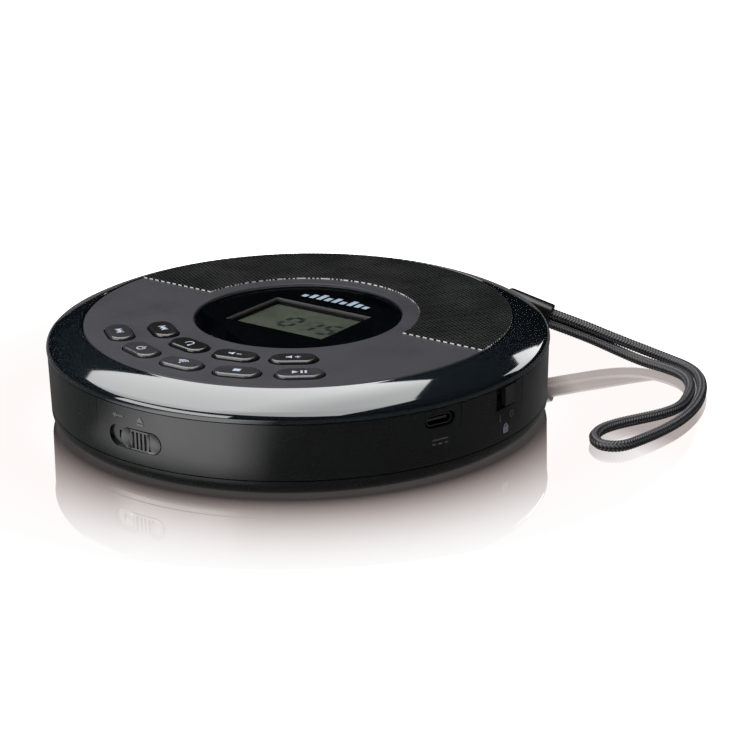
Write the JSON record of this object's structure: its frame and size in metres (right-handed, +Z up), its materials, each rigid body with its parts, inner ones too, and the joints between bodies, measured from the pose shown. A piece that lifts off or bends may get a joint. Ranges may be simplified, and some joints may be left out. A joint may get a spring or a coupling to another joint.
{
  "type": "portable cd player",
  "caption": "Round portable disc player with a hinged bottom disc door, raised keys, a liquid crystal display, loudspeakers under a mesh half ring, side slides and a wrist strap.",
  "frame": {"origin": "on the supporting surface, under the centre of the round case", "axes": "+Z up through the display, -Y to the user, where the opening slide is, +X to the side with the charging socket, +Y to the door's hinge"},
  "size_m": [0.1903, 0.1779, 0.0312],
  "materials": {
    "gloss_black": "glossy black plastic",
    "panel_matte": "matte charcoal plastic with a fine grain",
    "band_satin": "satin black plastic",
    "grille_mesh": "charcoal painted perforated sheet",
    "lens_clear": "clear glossy window",
    "mask_black": "printed black mask",
    "bezel_grey": "grey plastic frame",
    "lcd_glass": "greenish grey liquid crystal display",
    "light_white": "white light guide",
    "button_matte": "matte near-black plastic",
    "knob_satin": "satin black plastic",
    "inner_plastic": "moulded black plastic",
    "board_green": "green solder mask",
    "cell_foil": "foil pouch",
    "steel": "bright steel",
    "dark_steel": "blackened steel",
    "motor_can": "drawn steel can",
    "magnet_dark": "black coated magnet",
    "cone_paper": "pulp cone with a soft surround",
    "gear_white": "natural acetal",
    "platter_black": "black plastic",
    "ball_chrome": "polished steel balls",
    "objective_glass": "coated lens",
    "socket_metal": "plated shell",
    "foot_rubber": "soft black rubber",
    "strap_weave": "braided charcoal cord",
    "ferrule_black": "satin black ferrule"
  },
  "bodies": {
    "casing": {"top_ring": "gloss_black", "top_panel": "panel_matte", "speaker_grille": "grille_mesh", "display_lens": "lens_clear", "display_mask": "mask_black", "display_bezel": "bezel_grey", "lcd_glass": "lcd_glass", "lcd_backlight": "light_white", "housing_band": "band_satin", "hinge_pin": "steel", "button_switches": "inner_plastic", "latch_spring": "steel", "hold_switch": "inner_plastic", "usb_shell": "socket_metal", "usb_tongue": "inner_plastic", "headphone_jack": "inner_plastic", "disc_deck": "inner_plastic", "deck_screws": "dark_steel", "main_board": "board_green", "board_screws": "steel", "battery_cell": "cell_foil", "speaker_basket_left": "steel", "speaker_basket_right": "steel", "speaker_magnet_left": "magnet_dark", "speaker_magnet_right": "magnet_dark", "speaker_cone_left": "cone_paper", "speaker_cone_right": "cone_paper", "spindle_motor": "motor_can", "guide_rods": "steel", "rod_clips": "inner_plastic", "gear_axle": "steel", "sled_motor": "motor_can", "strap_post": "steel", "strap_ferrule": "ferrule_black", "strap_cord": "strap_weave", "strap_string": "strap_weave"},
    "disc_door": {"disc_door": "band_satin", "door_feet": "foot_rubber"},
    "open_slider": {"open_slider_knob": "knob_satin", "latch_plate": "inner_plastic"},
    "hold_slider": {"hold_knob": "knob_satin"},
    "platter": {"disc_platter": "platter_black", "clamp_balls": "ball_chrome", "spindle": "steel"},
    "pickup": {"pickup_sled": "inner_plastic", "sled_rack": "gear_white"},
    "objective": {"lens_holder": "inner_plastic", "objective_lens": "objective_glass"},
    "drive_gear": {"drive_gear": "gear_white"},
    "motor_pinion": {"motor_pinion": "gear_white", "pinion_shaft": "steel"},
    "previous_button": {"previous_button": "button_matte"},
    "repeat_button": {"repeat_button": "button_matte"},
    "volume_down_button": {"volume_down_button": "button_matte"},
    "volume_up_button": {"volume_up_button": "button_matte"},
    "next_button": {"next_button": "button_matte"},
    "power_button": {"power_button": "button_matte"},
    "wireless_button": {"wireless_button": "button_matte"},
    "stop_button": {"stop_button": "button_matte"},
    "play_button": {"play_button": "button_matte"}
  },
  "joints": [
    {"name": "door_hinge", "type": "hinge", "parent": "casing", "child": "disc_door", "pos_m": [0, 0.0766, 0.008], "axis": [1, 0, 0], "range_deg": [0, 65]},
    {"name": "previous_press", "type": "slide", "parent": "casing", "child": "previous_button", "axis": [0, 0, -1], "range_m": [0, 0.0006], "stiffness_N_per_m": 1500, "springref_m": -0.0004},
    {"name": "repeat_press", "type": "slide", "parent": "casing", "child": "repeat_button", "axis": [0, 0, -1], "range_m": [0, 0.0006], "stiffness_N_per_m": 1500, "springref_m": -0.0004},
    {"name": "volume_down_press", "type": "slide", "parent": "casing", "child": "volume_down_button", "axis": [0, 0, -1], "range_m": [0, 0.0006], "stiffness_N_per_m": 1500, "springref_m": -0.0004},
    {"name": "volume_up_press", "type": "slide", "parent": "casing", "child": "volume_up_button", "axis": [0, 0, -1], "range_m": [0, 0.0006], "stiffness_N_per_m": 1500, "springref_m": -0.0004},
    {"name": "next_press", "type": "slide", "parent": "casing", "child": "next_button", "axis": [0, 0, -1], "range_m": [0, 0.0006], "stiffness_N_per_m": 1500, "springref_m": -0.0004},
    {"name": "power_press", "type": "slide", "parent": "casing", "child": "power_button", "axis": [0, 0, -1], "range_m": [0, 0.0006], "stiffness_N_per_m": 1500, "springref_m": -0.0004},
    {"name": "wireless_press", "type": "slide", "parent": "casing", "child": "wireless_button", "axis": [0, 0, -1], "range_m": [0, 0.0006], "stiffness_N_per_m": 1500, "springref_m": -0.0004},
    {"name": "stop_press", "type": "slide", "parent": "casing", "child": "stop_button", "axis": [0, 0, -1], "range_m": [0, 0.0006], "stiffness_N_per_m": 1500, "springref_m": -0.0004},
    {"name": "play_press", "type": "slide", "parent": "casing", "child": "play_button", "axis": [0, 0, -1], "range_m": [0, 0.0006], "stiffness_N_per_m": 1500, "springref_m": -0.0004},
    {"name": "open_slide", "type": "slide", "parent": "casing", "child": "open_slider", "axis": [-1, 0, 0], "range_m": [0, 0.0042], "stiffness_N_per_m": 300, "springref_m": -0.003, "deforming": ["latch_spring"]},
    {"name": "hold_slide", "type": "slide", "parent": "casing", "child": "hold_slider", "axis": [-0.0262, -0.9997, 0], "range_m": [0, 0.0041]},
    {"name": "platter_spin", "type": "hinge", "parent": "casing", "child": "platter", "pos_m": [0, 0, 0.008], "axis": [0, 0, 1], "continuous": true},
    {"name": "pickup_slide", "type": "slide", "parent": "casing", "child": "pickup", "axis": [-1, 0, 0], "range_m": [0, 0.033]},
    {"name": "focus_slide", "type": "slide", "parent": "pickup", "child": "objective", "axis": [0, 0, 1], "range_m": [-0.0004, 0.0004], "stiffness_N_per_m": 60},
    {"name": "drive_gear_spin", "type": "hinge", "parent": "casing", "child": "drive_gear", "pos_m": [-0.0327, -0.02166, 0.014], "axis": [0, 0, 1], "range_deg": [0, 526]},
    {"name": "pinion_spin", "type": "hinge", "parent": "casing", "child": "motor_pinion", "pos_m": [-0.03932, -0.03077, 0.0158], "axis": [0, 0, 1], "range_deg": [-1314, 0]}
  ],
  "couplings": [
    {"joint": "drive_gear_spin", "follows": "pickup_slide", "rad_per_m": 277.78},
    {"joint": "pinion_spin", "follows": "pickup_slide", "rad_per_m": -694.44}
  ]
}
